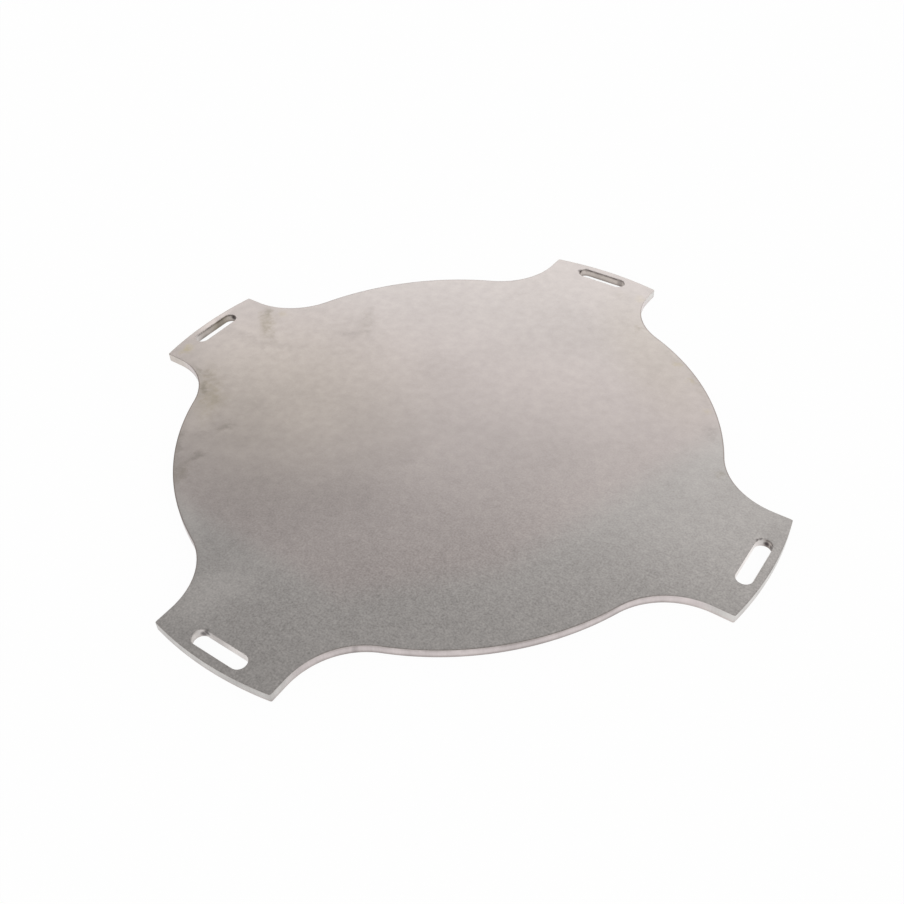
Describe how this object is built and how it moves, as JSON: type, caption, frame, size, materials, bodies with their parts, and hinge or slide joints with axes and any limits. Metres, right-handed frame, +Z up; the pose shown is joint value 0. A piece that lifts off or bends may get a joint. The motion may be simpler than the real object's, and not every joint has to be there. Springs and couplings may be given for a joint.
{
  "type": "griddle plate",
  "caption": "Round flat steel griddle plate with square-tipped ears around its rim, each pierced by a finger slot for lifting it on and off a camp fire.",
  "frame": {"origin": "centre of the plate's underside", "axes": "+Z up out of the cooking face, +X and +Y through the middles of two neighbouring ears"},
  "size_m": [0.4398, 0.4398, 0.006],
  "materials": {
    "steel": "bare pickled plate with a fine matt grain, cut edges bright"
  },
  "bodies": {
    "root": {"griddle_plate": "steel"}
  },
  "joints": []
}
